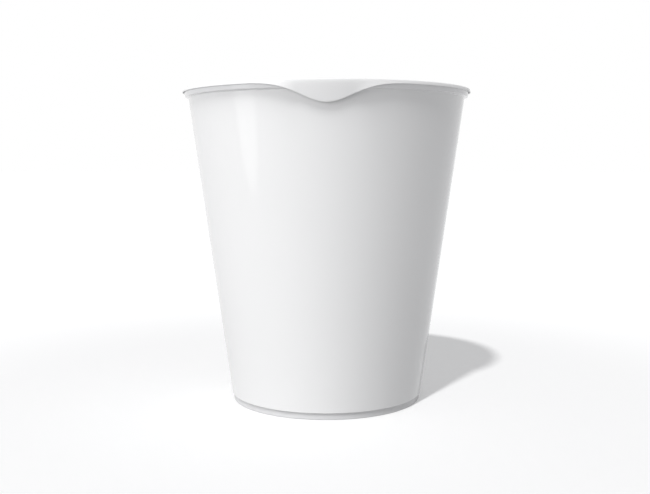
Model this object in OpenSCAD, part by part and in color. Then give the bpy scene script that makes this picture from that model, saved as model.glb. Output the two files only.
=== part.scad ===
// Single-serve yogurt cup: a moulded, tapered cup sealed with a thin lid that has a pull tab.
// Millimetres, +Z up. The origin is on the ground below the cup's axis, and the tab faces -Y.

/* [Cup] */
// Height of the sealing face above the ground
cup_h = 81.35; // [60:0.05:110]
// Outer diameter of the wall where it meets the rim
mouth_d = 72.2; // [60:0.1:90]
// Outer diameter of the wall at its lower end
base_d = 50.8; // [38:0.1:58]
// Radius of the wall's lower edge
wall_end_round = 0.25; // [0.1:0.05:0.8]

/* [Rim] */
// How far the rim stands out from the wall
rim_out = 1.1; // [0.9:0.05:3]
// Height of the rim, from its lower edge to the sealing face
rim_h = 1.75; // [1.6:0.05:4]
// Angle by which the rim's face and the pull tab lean in, in degrees
rim_lean = 11; // [0:1:14]
// Radius of the rim's upper edge, which the lid is folded over
rim_top_round = 0.15; // [0.1:0.05:0.5]
// Radius of the rim's lower edge
rim_low_round = 0.15; // [0.1:0.05:0.5]
// Radius of the hollow between the rim and the wall
rim_fillet = 0.1; // [0.05:0.05:0.4]

/* [Foot] */
// Height of the foot ring below the wall's lower end
foot_h = 1.65; // [1:0.05:4]
// How far the foot ring is set in from the wall's lower end
foot_step = 0.4; // [0.3:0.05:1.5]
// Width of the ring that the cup stands on
foot_w = 1.5; // [1:0.1:5]
// Radius of both edges of the foot ring
foot_round = 0.2; // [0.1:0.05:0.45]
// Height of the base above the ground, inside the foot ring
recess_h = 2.6; // [1.6:0.1:8]
// Radius of the corner between the base and the foot ring
recess_round = 0.8; // [0.2:0.1:1.2]

/* [Lid] */
// Thickness of the lid's sheet
lid_t = 0.25; // [0.1:0.01:0.4]
// Clearance between the lid's turned-down edge and the rim
lid_gap = 0.05; // [0.02:0.01:0.1]
// How far the lid's edge hangs straight down below its fold
lid_skirt = 0.35; // [0.2:0.05:0.8]
// How far the pull tab hangs below the lid's edge
tab_drop = 4.4; // [2:0.1:10]
// Width of the pull tab halfway down its drop
tab_w = 14; // [8:0.5:24]

/* [Hidden] */
$fn = 128;

mouth_r = mouth_d / 2;
base_r = base_d / 2;
rim_r = mouth_r + rim_out;
rim_z = cup_h - rim_h;
foot_r = base_r - foot_step;
recess_r = foot_r - foot_w;
wall_lean = atan((mouth_r - base_r) / (rim_z - foot_h));

// The arc of the rim's upper edge, and the face that leans in from it to the rim's lower edge
rim_top_c = [rim_r - rim_top_round, cup_h - rim_top_round];
rim_face_top = rim_top_c + rim_top_round * [cos(rim_lean), -sin(rim_lean)];
rim_low_r = rim_face_top.x - (rim_face_top.y - rim_z) * tan(rim_lean);

// The lid folds down round the same arc, one clearance further out
turn_in = rim_top_round + lid_gap;
turn_out = turn_in + lid_t;
turn_c = [rim_top_c.x, cup_h - turn_in];
lid_edge_z = turn_c.y - lid_skirt;
tab_fall = lid_skirt + tab_drop + turn_out;

// The pull tab's outline is a bell curve, which ends at this many times its spread
BELL_REACH = 3;
BELL_STEPS = 24;
tab_spread = tab_w / 2 / sqrt(2 * ln(2));
bell_half_w = BELL_REACH * tab_spread;

// Distance from a corner to where an arc starts, between a level edge and a face that leans
function corner_run(round_r, lean) = round_r / tan(45 + lean / 2);

// Points of a corner's two ends: the level edge comes first, then the leaning face
function corner_points(corner, run, lean) = [
    corner - [run, 0],
    corner + run * [sin(lean), cos(lean)]
];

// Depth of the tab below the lid's edge at a distance from its middle
function bell(x) =
    let (tail = exp(-BELL_REACH * BELL_REACH / 2))
    tab_drop * (exp(-x * x / (2 * tab_spread * tab_spread)) - tail) / (1 - tail);

module disc_at(centre, r) {
    translate(centre) circle(r = r);
}

// Half of the cup's section, from the axis outwards
module cup_section() {
    end_run = corner_run(wall_end_round, wall_lean);
    low_run = corner_run(rim_low_round, rim_lean);
    fillet_run = corner_run(rim_fillet, wall_lean);
    difference() {
        union() {
            polygon(concat(
                [
                    [0, recess_h],
                    [recess_r - recess_round, recess_h],
                    [recess_r, recess_h - recess_round],
                    [recess_r, foot_round],
                    [recess_r + foot_round, 0],
                    [foot_r - foot_round, 0],
                    [foot_r, foot_round],
                    [foot_r, foot_h]
                ],
                corner_points([base_r, foot_h], end_run, wall_lean),
                [
                    [mouth_r, rim_z] - fillet_run * [sin(wall_lean), cos(wall_lean)],
                    [mouth_r + fillet_run, rim_z]
                ],
                corner_points([rim_low_r, rim_z], low_run, rim_lean),
                [
                    rim_face_top,
                    [rim_r, rim_top_c.y],
                    [rim_top_c.x, cup_h],
                    [0, cup_h]
                ]
            ));
            disc_at([recess_r + foot_round, foot_round], foot_round);
            disc_at([foot_r - foot_round, foot_round], foot_round);
            disc_at([base_r - end_run, foot_h + wall_end_round], wall_end_round);
            disc_at([rim_low_r - low_run, rim_z + rim_low_round], rim_low_round);
            disc_at(rim_top_c, rim_top_round);
        }
        disc_at([mouth_r + fillet_run, rim_z - rim_fillet], rim_fillet);
        disc_at([recess_r - recess_round, recess_h - recess_round], recess_round);
    }
}

// Half of the outline of the lid's outer or inner side, which folds round the rim and falls
module lid_side(turn, fall) {
    across = [cos(rim_lean), -sin(rim_lean)];
    down = [-sin(rim_lean), -cos(rim_lean)] * fall / cos(rim_lean);
    polygon([
        [0, turn_c.y - fall],
        turn_c + turn * across + down,
        turn_c + turn * across,
        turn_c + [0, turn],
        [0, turn_c.y + turn]
    ]);
    disc_at(turn_c, turn);
}

// Half of the lid's section at the tab: the sheet between its outer and its inner side
module lid_section() {
    difference() {
        lid_side(turn_out, tab_fall);
        lid_side(turn_in, 2 * tab_fall);
    }
}

// What is cut away below the lid's edge: all but the tab's bell shape, seen from the front
module below_edge() {
    half_w = rim_r + turn_out;
    translate([0, 0, lid_edge_z]) rotate([90, 0, 0]) linear_extrude(height = half_w) polygon(concat(
        [[-half_w, 0]],
        [for (i = [-BELL_STEPS : BELL_STEPS])
            let (x = i / BELL_STEPS * bell_half_w)
            [x, -bell(x)]],
        [[half_w, 0], [half_w, -2 * tab_fall], [-half_w, -2 * tab_fall]]
    ));
    translate([-half_w, -mouth_r / 2, lid_edge_z - 2 * tab_fall])
        cube([2 * half_w, mouth_r / 2 + half_w, 2 * tab_fall]);
}

// The moulded cup with what it holds, sealed and so closed at the sealing face
module cup() {
    color("whitesmoke") rotate_extrude() cup_section();
}

// The heat-sealed lid: a flat sheet, its folded edge and the pull tab at the front
module lid() {
    color("white") difference() {
        rotate_extrude() lid_section();
        below_edge();
    }
}

cup();
lid();
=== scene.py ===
import math

import bmesh
import bpy
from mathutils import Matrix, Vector, noise


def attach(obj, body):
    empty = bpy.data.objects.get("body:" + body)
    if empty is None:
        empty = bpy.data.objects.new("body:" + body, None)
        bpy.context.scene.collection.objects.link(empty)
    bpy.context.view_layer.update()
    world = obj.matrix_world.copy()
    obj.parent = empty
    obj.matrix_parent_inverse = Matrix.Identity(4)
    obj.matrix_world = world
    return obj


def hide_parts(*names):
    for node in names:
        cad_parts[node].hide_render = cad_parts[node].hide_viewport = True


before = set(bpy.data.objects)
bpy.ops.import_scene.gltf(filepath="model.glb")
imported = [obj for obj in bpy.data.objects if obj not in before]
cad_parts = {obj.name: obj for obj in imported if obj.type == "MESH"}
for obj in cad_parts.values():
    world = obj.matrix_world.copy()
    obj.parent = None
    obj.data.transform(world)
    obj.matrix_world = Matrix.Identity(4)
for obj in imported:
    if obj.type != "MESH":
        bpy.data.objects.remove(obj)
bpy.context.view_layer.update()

MM = 0.001

# Sizes of the cup, the same as in its construction
CUP_H = 81.35 * MM
MOUTH_R = 36.1 * MM
BASE_R = 25.4 * MM
WALL_END_ROUND = 0.25 * MM
RIM_OUT = 1.1 * MM
RIM_H = 1.75 * MM
RIM_LEAN = math.radians(11)
RIM_TOP_ROUND = 0.15 * MM
FOOT_H = 1.65 * MM
FOOT_STEP = 0.4 * MM
FOOT_W = 1.5 * MM
FOOT_ROUND = 0.2 * MM
RECESS_H = 2.6 * MM
RECESS_ROUND = 0.8 * MM

# The rim's lower edge and the hollows under the rim and the wall, softer than the construction's
RIM_LOW_ROUND = 0.3 * MM
RIM_FILLET = 0.3 * MM
FOOT_FILLET = 0.15 * MM

# Sizes of the lid, the same as in its construction but for the rounding of its cut edge
LID_T = 0.25 * MM
LID_GAP = 0.05 * MM
LID_SKIRT = 0.35 * MM
LID_EDGE_ROUND = 0.06 * MM
TAB_DROP = 4.4 * MM
TAB_W = 14 * MM
BELL_REACH = 3
# The fold is tight and stops short of upright, so the skirt flares a little and catches the light;
# along the tab the flare dies away over FLARE_EASE
FOLD_ROUND = 0.26 * MM
SKIRT_FLARE = math.radians(13)
FLARE_EASE = 0.12 * MM
# The tab bends in over its first millimetre and ends where the construction has it. Its lean is
# full where its drop is this share of the whole
TAB_LEAN = math.radians(12.3)
TAB_EASE = 0.8 * MM
TAB_FULL = 0.6

# What follows from them
RIM_R = MOUTH_R + RIM_OUT
RIM_Z = CUP_H - RIM_H
FOOT_R = BASE_R - FOOT_STEP
RECESS_R = FOOT_R - FOOT_W
WALL_LEAN = math.atan((MOUTH_R - BASE_R) / (RIM_Z - FOOT_H))
TURN_OUT = RIM_TOP_ROUND + LID_GAP + LID_T
TURN_R = RIM_R - RIM_TOP_ROUND
TURN_Z = CUP_H - RIM_TOP_ROUND - LID_GAP
LID_EDGE_Z = TURN_Z - LID_SKIRT
LID_TOP = CUP_H + LID_T
FOLD_R = TURN_R + (TURN_OUT - FOLD_ROUND) * math.tan(math.pi / 4 - SKIRT_FLARE / 2)
FOLD_Z = LID_TOP - FOLD_ROUND
FOLD_END_R = FOLD_R + FOLD_ROUND * math.cos(SKIRT_FLARE)
FOLD_END_Z = FOLD_Z + FOLD_ROUND * math.sin(SKIRT_FLARE)
TAB_SPREAD = TAB_W / 2 / math.sqrt(2 * math.log(2))

# Marks that sealing and moulding leave. The film sags freely inside this share of the seal's radius
SEAL_IN_R = 33.9 * MM
SEAL_OUT_R = 36.0 * MM
SEAL_DEPTH = 0.1 * MM
SEAL_SLOPE = 0.25 * MM
FILM_FREE = 0.6
FILM_SAG = 0.35 * MM
FILM_RIPPLE = 0.09 * MM
FILM_RIPPLE_LENGTH = 16 * MM
GATE_R = 2.2 * MM
GATE_H = 0.25 * MM
# The top of what the cup holds lies this far below the sealing face, which is this wide
HEADSPACE = 1.5 * MM
SEALING_FACE_W = 2.2 * MM

# How finely the round pieces are drawn
CUP_SIDES = 288
LID_SIDES = 480
WALL_BANDS = 26
CORNER_BANDS = 7
FILM_BANDS = 20
SEAL_BANDS = 16
SKIRT_ROWS = 2
TAB_ROWS = 14
CUT_EDGE_BANDS = 2
# Two points this close to each other are at the same height or radius
NEAR = 0.002 * MM
# Edges sharper than the first angle stay sharp, and the sheet's edges over the second are rounded
SMOOTH_UNDER = math.radians(40)
ROUND_OVER = math.radians(50)


def linear(hex_colour):
    """The linear colour of an sRGB hex value."""
    parts = [int(hex_colour[i:i + 2], 16) / 255 for i in (0, 2, 4)]
    return (*[p / 12.92 if p <= 0.04045 else ((p + 0.055) / 1.055) ** 2.4 for p in parts], 1)


def add_node(tree, kind, inputs=(), **settings):
    """One node with its settings; each input is a plain value or the socket that feeds it."""
    made = tree.nodes.new(kind)
    for name, value in settings.items():
        setattr(made, name, value)
    for name, value in dict(inputs).items():
        if isinstance(value, bpy.types.NodeSocket):
            tree.links.new(value, made.inputs[name])
        else:
            made.inputs[name].default_value = value
    return made


def new_material(name):
    material = bpy.data.materials.new(name)
    material.use_nodes = True
    material.node_tree.nodes.clear()
    return material


def moulded_polypropylene():
    """White polypropylene from a polished mould: a clear gloss that softens what it mirrors."""
    material = new_material("moulded polypropylene")
    tree = material.node_tree
    place = add_node(tree, "ShaderNodeTexCoord").outputs["Object"]
    # The white filler drifts a little in the flow, over about 30 mm
    flow = add_node(tree, "ShaderNodeTexNoise", {
        "Vector": place, "Scale": 1 / (30 * MM), "Detail": 2,
    })
    body = add_node(tree, "ShaderNodeMix", {
        "Factor": flow.outputs["Fac"], "A": linear("F3F3F3"), "B": linear("F0F0F0"),
    }, data_type="RGBA")
    # The thick rim has one even colour, and the foot ring is painted greyer: painted shade, for the
    # shade under the wall's ledge
    height = add_node(tree, "ShaderNodeSeparateXYZ", {"Vector": place}).outputs["Z"]
    at_rim = add_node(tree, "ShaderNodeMapRange", {
        "Value": height, "From Min": RIM_Z - RIM_FILLET, "From Max": RIM_Z + RIM_FILLET,
    })
    with_rim = add_node(tree, "ShaderNodeMix", {
        "Factor": at_rim.outputs["Result"], "A": body.outputs["Result"], "B": linear("F2F2F3"),
    }, data_type="RGBA")
    above_foot_shade = add_node(tree, "ShaderNodeMapRange", {
        "Value": height, "From Min": FOOT_H - FOOT_FILLET, "From Max": FOOT_H + FOOT_FILLET,
    })
    # Painted shade: the foot ring below the wall gets the darker grey DCDCDD
    colour = add_node(tree, "ShaderNodeMix", {
        "Factor": above_foot_shade.outputs["Result"], "A": linear("DCDCDD"), "B": with_rim.outputs["Result"],
    }, data_type="RGBA")
    # The mould's polish is uneven over 4 mm
    polish = add_node(tree, "ShaderNodeTexNoise", {
        "Vector": place, "Scale": 1 / (4 * MM), "Detail": 3,
    })
    gloss = add_node(tree, "ShaderNodeMapRange", {
        "Value": polish.outputs["Fac"], "To Min": 0.07, "To Max": 0.11,
    })
    # Its grain, under 0.1 mm, is drawn at 0.3 mm, and the wall is wavy over 9 mm where it shrank
    grain = add_node(tree, "ShaderNodeTexNoise", {
        "Vector": place, "Scale": 1 / (0.3 * MM), "Detail": 2,
    })
    waves = add_node(tree, "ShaderNodeTexNoise", {
        "Vector": place, "Scale": 1 / (9 * MM), "Detail": 1,
    })
    long_waves = add_node(tree, "ShaderNodeBump", {
        "Height": waves.outputs["Fac"], "Strength": 0.3, "Distance": 0.03 * MM,
    })
    surface = add_node(tree, "ShaderNodeBump", {
        "Height": grain.outputs["Fac"], "Strength": 0.1, "Distance": 0.004 * MM,
        "Normal": long_waves.outputs["Normal"],
    })
    shader = add_node(tree, "ShaderNodeBsdfPrincipled", {
        "Base Color": colour.outputs["Result"],
        "Roughness": gloss.outputs["Result"],
        "IOR": 1.49,
        "Normal": surface.outputs["Normal"],
    })
    add_node(tree, "ShaderNodeOutputMaterial", {"Surface": shader.outputs["BSDF"]})
    return material


def lacquered_foil():
    """Rolled foil under white lacquer: a satin sheen, with the faint lines of the rolling."""
    material = new_material("lacquered foil")
    tree = material.node_tree
    place = add_node(tree, "ShaderNodeTexCoord").outputs["Object"]
    # Lacquer thickness drifts over about 12 mm
    coat = add_node(tree, "ShaderNodeTexNoise", {
        "Vector": place, "Scale": 1 / (12 * MM), "Detail": 2,
    })
    colour = add_node(tree, "ShaderNodeMix", {
        "Factor": coat.outputs["Fac"], "A": linear("F7F7F7"), "B": linear("F4F4F4"),
    }, data_type="RGBA")
    # Rolling lines are a few hundredths of a millimetre apart and are drawn at 0.4 mm, along Y
    stretched = add_node(tree, "ShaderNodeMapping", {"Vector": place, "Scale": (1, 0.04, 1)})
    lines = add_node(tree, "ShaderNodeTexNoise", {
        "Vector": stretched.outputs["Vector"], "Scale": 1 / (0.4 * MM), "Detail": 2,
    })
    satin = add_node(tree, "ShaderNodeMapRange", {
        "Value": lines.outputs["Fac"], "To Min": 0.34, "To Max": 0.46,
    })
    surface = add_node(tree, "ShaderNodeBump", {
        "Height": lines.outputs["Fac"], "Strength": 0.2, "Distance": 0.01 * MM,
    })
    shader = add_node(tree, "ShaderNodeBsdfPrincipled", {
        "Base Color": colour.outputs["Result"],
        "Roughness": satin.outputs["Result"],
        "IOR": 1.5,
        "Normal": surface.outputs["Normal"],
    })
    add_node(tree, "ShaderNodeOutputMaterial", {"Surface": shader.outputs["BSDF"]})
    return material


def deselect_all():
    if bpy.context.object and bpy.context.object.mode != "OBJECT":
        bpy.ops.object.mode_set(mode="OBJECT")
    bpy.ops.object.select_all(action="DESELECT")


def select_edges(piece, wanted):
    """In edit mode, selects the edges whose two ends both pass the test, and nothing else."""
    bpy.ops.mesh.select_mode(type="EDGE")
    bpy.ops.mesh.select_all(action="DESELECT")
    mesh = bmesh.from_edit_mesh(piece.data)
    for edge in mesh.edges:
        edge.select_set(all(wanted(vertex.co) for vertex in edge.verts))
    bmesh.update_edit_mesh(piece.data)


def at_ring(radius, height):
    """A test for the points of a ring."""
    return lambda co: abs(co.z - height) < NEAR and abs(math.hypot(co.x, co.y) - radius) < NEAR


def draw_rings(name, rings, sides):
    """A round piece drawn up ring by ring: each (radius, height) is one extrude and one resize."""
    deselect_all()
    radius, height = rings[0]
    bpy.ops.mesh.primitive_circle_add(
        vertices=sides, radius=radius, fill_type="TRIFAN", location=(0, 0, height))
    piece = bpy.context.object
    piece.name = piece.data.name = name
    bpy.ops.object.transform_apply(location=True)
    bpy.ops.object.mode_set(mode="EDIT")
    select_edges(piece, at_ring(radius, height))
    for next_radius, next_height in rings[1:]:
        bpy.ops.mesh.extrude_region_move(
            TRANSFORM_OT_translate={"value": (0, 0, next_height - height)})
        share = next_radius / radius
        bpy.ops.transform.resize(value=(share, share, 1), center_override=(0, 0, next_height))
        radius, height = next_radius, next_height
    return piece


def corner_run(round_r, lean=0):
    """Distance from a corner to where its arc starts, between a level face and one that leans."""
    return round_r / math.tan(math.pi / 4 + lean / 2)


def round_ring(piece, radius, height, run):
    """Rounds a corner ring off, from this distance on either side of it."""
    select_edges(piece, at_ring(radius, height))
    bpy.ops.mesh.bevel(
        offset=run, offset_type="OFFSET", segments=CORNER_BANDS, affect="EDGES",
        clamp_overlap=False)


def finish_piece(piece, material):
    """Applies the modifiers, smooths the faces and gives the piece its material."""
    if piece.mode == "EDIT":
        bpy.ops.object.mode_set(mode="OBJECT")
    bpy.ops.object.shade_smooth_by_angle(angle=SMOOTH_UNDER)
    flatter = piece.modifiers.new("flat faces stay flat", "WEIGHTED_NORMAL")
    flatter.weight = 100
    flatter.keep_sharp = True
    for modifier in list(piece.modifiers):
        bpy.ops.object.modifier_apply(modifier=modifier.name)
    piece.data.materials.clear()
    piece.data.materials.append(material)


def moulded_cup(material):
    """The cup from its base up, with the top of what it holds just under the lid."""
    wall = [(BASE_R + (MOUTH_R - BASE_R) * i / WALL_BANDS,
             FOOT_H + (RIM_Z - FOOT_H) * i / WALL_BANDS)
            for i in range(WALL_BANDS + 1)]
    face_top_z = CUP_H - RIM_TOP_ROUND * (1 + math.sin(RIM_LEAN))
    face_top_r = RIM_R - RIM_TOP_ROUND * (1 - math.cos(RIM_LEAN))
    low_r = face_top_r - (face_top_z - RIM_Z) * math.tan(RIM_LEAN)
    top_r = face_top_r + (CUP_H - face_top_z) * math.tan(RIM_LEAN)
    sealing_in_r = TURN_R - SEALING_FACE_W
    piece = draw_rings("cup_moulding", [
        (GATE_R, RECESS_H - GATE_H),
        (GATE_R, RECESS_H),
        (RECESS_R * 0.5, RECESS_H),
        (RECESS_R, RECESS_H),
        (RECESS_R, 0),
        (FOOT_R, 0),
        (FOOT_R, FOOT_H),
        *wall,
        (low_r, RIM_Z),
        (top_r, CUP_H),
        (SEAL_OUT_R + SEAL_SLOPE, CUP_H),
        (SEAL_OUT_R, CUP_H - SEAL_DEPTH),
        (sealing_in_r, CUP_H - SEAL_DEPTH),
        (sealing_in_r, CUP_H - HEADSPACE),
        (sealing_in_r * 0.5, CUP_H - HEADSPACE),
        (GATE_R, CUP_H - HEADSPACE),
    ], CUP_SIDES)
    bpy.ops.mesh.merge(type="CENTER")
    bpy.ops.mesh.select_all(action="SELECT")
    bpy.ops.mesh.normals_make_consistent(inside=False)
    round_ring(piece, GATE_R, RECESS_H - GATE_H, GATE_H / 2)
    round_ring(piece, RECESS_R, RECESS_H, corner_run(RECESS_ROUND))
    round_ring(piece, RECESS_R, 0, corner_run(FOOT_ROUND))
    round_ring(piece, FOOT_R, 0, corner_run(FOOT_ROUND))
    round_ring(piece, FOOT_R, FOOT_H, corner_run(FOOT_FILLET))
    round_ring(piece, BASE_R, FOOT_H, corner_run(WALL_END_ROUND, WALL_LEAN))
    round_ring(piece, MOUTH_R, RIM_Z, corner_run(RIM_FILLET, WALL_LEAN))
    round_ring(piece, low_r, RIM_Z, corner_run(RIM_LOW_ROUND, RIM_LEAN))
    # This corner is the sharper one of a face that leans out, so its run is longer
    round_ring(piece, top_r, CUP_H, corner_run(RIM_TOP_ROUND, -RIM_LEAN))
    finish_piece(piece, material)
    return piece


def bell(x):
    """Depth of the tab below the lid's edge at a distance from its middle."""
    tail = math.exp(-BELL_REACH ** 2 / 2)
    return max(0, TAB_DROP * (math.exp(-x ** 2 / (2 * TAB_SPREAD ** 2)) - tail) / (1 - tail))


def ramp(value, low, high):
    """A smooth step from 0 at low to 1 at high."""
    share = min(max((value - low) / (high - low), 0), 1)
    return share * share * (3 - 2 * share)


def settled(depth, over):
    """How much of a depth a bend takes that dies away over a given distance."""
    return over * (1 - math.exp(-depth / over))


def sheet_radius(x, depth):
    """Outer radius of the lid at a depth below its fold: flared, but leaning in along the tab."""
    at_tab = ramp(bell(x) / TAB_DROP, 0, TAB_FULL)
    flared = depth + (settled(depth, FLARE_EASE) - depth) * at_tab
    leaning = (depth - settled(depth, TAB_EASE)) * at_tab
    return FOLD_END_R + math.tan(SKIRT_FLARE) * flared - math.tan(TAB_LEAN) * leaning


def film_depth(co):
    """How far the film lies below the lid's top: the seal's mark, the sag and soft ripples."""
    radius = math.hypot(co.x, co.y)
    inside = ramp(radius, SEAL_IN_R - SEAL_SLOPE, SEAL_IN_R)
    seal = inside * (1 - ramp(radius, SEAL_OUT_R, SEAL_OUT_R + SEAL_SLOPE))
    free = 1 - ramp(radius, FILM_FREE * SEAL_IN_R, SEAL_IN_R - SEAL_SLOPE)
    ripple = noise.noise(Vector((co.x, co.y, 0)) / FILM_RIPPLE_LENGTH) * FILM_RIPPLE
    return seal * SEAL_DEPTH + free * (FILM_SAG * (1 - (radius / SEAL_IN_R) ** 2) + ripple)


def sealed_lid(material):
    """The lid: its flat film, the edge turned down round the rim, and the pull tab."""
    turn = []
    for i in range(CORNER_BANDS + 1):
        angle = (math.pi / 2 - SKIRT_FLARE) * i / CORNER_BANDS
        turn.append((FOLD_R + FOLD_ROUND * math.sin(angle), FOLD_Z + FOLD_ROUND * math.cos(angle)))
    flat = [(SEAL_IN_R * i / FILM_BANDS, LID_TOP) for i in range(1, FILM_BANDS)]
    seal = []
    for i in range(SEAL_BANDS):
        across = SEAL_IN_R + (TURN_R - SEAL_IN_R) * i / SEAL_BANDS
        seal.append((across - SEAL_SLOPE * (1 - i / SEAL_BANDS), LID_TOP))
    piece = draw_rings("lid_foil", [*flat, *seal, *turn], LID_SIDES)
    select_edges(piece, at_ring(FOLD_END_R, FOLD_END_Z))
    # The skirt goes all round; from its edge down, only the rows of the tab go on
    for row in range(1, SKIRT_ROWS + TAB_ROWS + 1):
        if row == SKIRT_ROWS + 1:
            select_edges(piece, lambda co: co.z < LID_EDGE_Z + NEAR and co.y < 0 and bell(co.x) > 0)
        bpy.ops.mesh.extrude_region_move()
        mesh = bmesh.from_edit_mesh(piece.data)
        for vertex in mesh.verts:
            if vertex.select:
                side = Vector((vertex.co.x, vertex.co.y)).normalized()
                x = side.x * FOLD_END_R if side.y < 0 else FOLD_END_R
                depth = (FOLD_END_Z - LID_EDGE_Z) * min(row / SKIRT_ROWS, 1)
                depth += bell(x) * max(row - SKIRT_ROWS, 0) / TAB_ROWS
                vertex.co = (*(side * sheet_radius(x, depth)), FOLD_END_Z - depth)
        bmesh.update_edit_mesh(piece.data)
    bpy.ops.mesh.select_all(action="SELECT")
    bpy.ops.mesh.remove_doubles(threshold=NEAR / 2)
    bpy.ops.mesh.normals_make_consistent(inside=False)
    mesh = bmesh.from_edit_mesh(piece.data)
    for vertex in mesh.verts:
        if vertex.co.z > LID_TOP - LID_T / 10:
            vertex.co.z -= film_depth(vertex.co)
    bmesh.update_edit_mesh(piece.data)
    bpy.ops.object.mode_set(mode="OBJECT")
    sheet = piece.modifiers.new("thickness of the sheet", "SOLIDIFY")
    sheet.thickness = LID_T
    sheet.offset = -1
    cut_edge = piece.modifiers.new("die-cut edge", "BEVEL")
    cut_edge.width = LID_EDGE_ROUND
    cut_edge.segments = CUT_EDGE_BANDS
    cut_edge.angle_limit = ROUND_OVER
    finish_piece(piece, material)
    return piece


# The camera stands 241 mm in front of the cup's axis, 63 mm up, and looks 5.3 degrees down
CAMERA_AT = Vector((-0.374, -241.3, 62.7)) * MM
CAMERA_DOWN = math.radians(5.31)
LENS = 50
SENSOR_W = 36


def add_camera():
    data = bpy.data.cameras.new("camera")
    data.lens = LENS
    data.sensor_width = SENSOR_W
    data.clip_start = 10 * MM
    camera = bpy.data.objects.new("camera", data)
    camera.location = CAMERA_AT
    camera.rotation_euler = (math.pi / 2 - CAMERA_DOWN, 0, 0)
    bpy.context.scene.collection.objects.link(camera)
    bpy.context.scene.camera = camera


def seen_or_mirrored(tree):
    """1 for rays from the camera and for mirrored ones, 0 for those that light a surface."""
    ray = add_node(tree, "ShaderNodeLightPath").outputs
    return add_node(tree, "ShaderNodeMath", {
        0: ray["Is Camera Ray"], 1: ray["Is Glossy Ray"],
    }, operation="MAXIMUM").outputs["Value"]


FLOOR_HALF_W = 6
FLOOR_COLOUR = "E0E0E0"
# What the floor throws back at the pieces is greyer than what is seen: a dimmer bounce that keeps
# the foot and the lower wall in shade
BOUNCE_COLOUR = "BEBEBE"
# The lift of the floor to white, next to the cup and from further off; the smaller lift next to the
# cup is painted shade round the cup and in its shadow
LIFT_NEAR = 0.28
LIFT_FAR = 0.37
LIFT_FROM = 80 * MM
LIFT_TO = 170 * MM
# The room's light is slightly cool
WORLD_LIGHT = (0.368, 0.37, 0.38, 1)


def add_floor():
    """A plain pale floor, which is lifted to the white of the background where it is seen."""
    deselect_all()
    bpy.ops.mesh.primitive_plane_add(size=2 * FLOOR_HALF_W)
    floor = bpy.context.object
    floor.name = "floor"
    material = new_material("matt white floor")
    tree = material.node_tree
    place = add_node(tree, "ShaderNodeTexCoord").outputs["Object"]
    away = add_node(tree, "ShaderNodeVectorMath", {"Vector": place}, operation="LENGTH")
    # Painted shade: the lift is smaller next to the cup, so the floor stays greyer there
    strength = add_node(tree, "ShaderNodeMapRange", {
        "Value": away.outputs["Value"], "From Min": LIFT_FROM, "From Max": LIFT_TO,
        "To Min": LIFT_NEAR, "To Max": LIFT_FAR,
    }, interpolation_type="SMOOTHSTEP")
    matt = add_node(tree, "ShaderNodeBsdfDiffuse", {"Color": linear(FLOOR_COLOUR)})
    lift = add_node(tree, "ShaderNodeEmission", {"Strength": strength.outputs["Result"]})
    both = add_node(tree, "ShaderNodeAddShader", {
        0: matt.outputs["BSDF"], 1: lift.outputs["Emission"],
    })
    bounce = add_node(tree, "ShaderNodeBsdfDiffuse", {"Color": linear(BOUNCE_COLOUR)})
    shown = add_node(tree, "ShaderNodeMixShader", {
        "Fac": seen_or_mirrored(tree), 1: bounce.outputs["BSDF"], 2: both.outputs["Shader"],
    })
    add_node(tree, "ShaderNodeOutputMaterial", {"Surface": shown.outputs["Shader"]})
    floor.data.materials.append(material)
    return floor


def add_world():
    world = bpy.data.worlds.new("pale studio")
    world.use_nodes = True
    tree = world.node_tree
    tree.nodes.clear()
    glow = add_node(tree, "ShaderNodeMix", {
        "Factor": seen_or_mirrored(tree), "A": WORLD_LIGHT, "B": (1, 1, 1, 1),
    }, data_type="RGBA")
    background = add_node(tree, "ShaderNodeBackground", {"Color": glow.outputs["Result"]})
    add_node(tree, "ShaderNodeOutputWorld", {"Surface": background.outputs["Background"]})
    bpy.context.scene.world = world


# What the lamps are turned to
CUP_MIDDLE = Vector((0, 0, 40 * MM))
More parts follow.
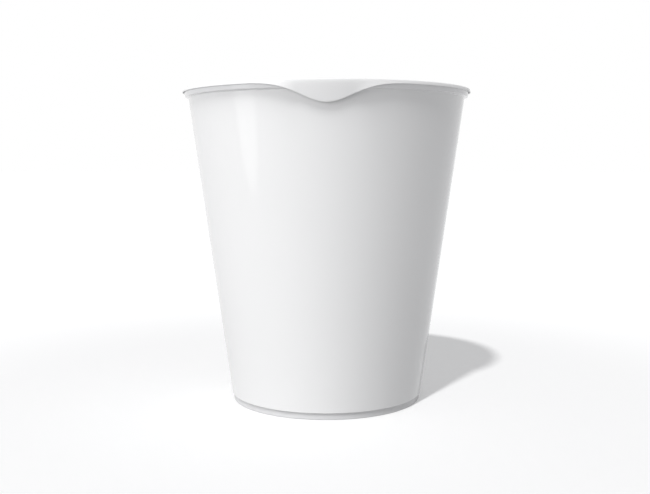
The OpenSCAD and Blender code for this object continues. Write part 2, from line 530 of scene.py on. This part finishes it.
# The key lamps stand front left. What each one lights, its turn and height in degrees, its
# strength and how wide it looks in degrees: sharp on the floor, wide as a soft box on the pieces
KEYS = {
    "floor": (-18.8, 54.8, 1.95, 3.1),
    "cup": (-23.7, 65, 3.1, 27),
    "lid": (-23.7, 60, 1.75, 25),
}
# The panels: turn and height in degrees, distance, width, height and strength. The left one and
# a weak one in front fill the shade, and the near one is there for its reflection on the left
PANELS = {
    "left panel": (-50, 20, 500 * MM, 300 * MM, 300 * MM, 2.5),
    "front panel": (0, 25, 700 * MM, 400 * MM, 300 * MM, 0.4),
    "near panel": (-63, 4.5, 190 * MM, 60 * MM, 84 * MM, 0.95),
}


def towards_lamp(turn, up):
    """The direction to a lamp that is turned to the right of the front and stands so far up."""
    turn, up = math.radians(turn), math.radians(up)
    return Vector((math.sin(turn) * math.cos(up), -math.cos(turn) * math.cos(up), math.sin(up)))


def add_lamp(name, kind, lit, turn, up, distance=0):
    """A lamp that lights only these objects, and looks at the cup's middle from there."""
    light = bpy.data.lights.new(name, kind)
    lamp = bpy.data.objects.new(name, light)
    towards = towards_lamp(turn, up)
    lamp.location = CUP_MIDDLE + towards * distance
    lamp.rotation_euler = towards.to_track_quat("Z", "Y").to_euler()
    bpy.context.scene.collection.objects.link(lamp)
    only = bpy.data.collections.new("lit by the " + name)
    for piece in lit:
        only.objects.link(piece)
    lamp.light_linking.receiver_collection = only
    return light


def add_lamps(pieces):
    """A key lamp for each thing that is lit, and the panels for the cup and its lid."""
    for name, (turn, up, strength, disc) in KEYS.items():
        key = add_lamp("key lamp on the " + name, "SUN", [pieces[name]], turn, up)
        key.energy = strength
        key.angle = math.radians(disc)
    for name, (turn, up, distance, width, height, strength) in PANELS.items():
        panel = add_lamp(name, "AREA", [pieces["cup"], pieces["lid"]], turn, up, distance)
        panel.shape = "ELLIPSE"
        panel.size = width
        panel.size_y = height
        panel.energy = strength * math.pi * width * height


add_camera()
cup = moulded_cup(moulded_polypropylene())
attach(cup, "root")
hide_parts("cup")
lid = sealed_lid(lacquered_foil())
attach(lid, "root")
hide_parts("lid")
floor = add_floor()
add_world()
add_lamps({"floor": floor, "cup": cup, "lid": lid})
bpy.context.scene.view_settings.view_transform = "Standard"
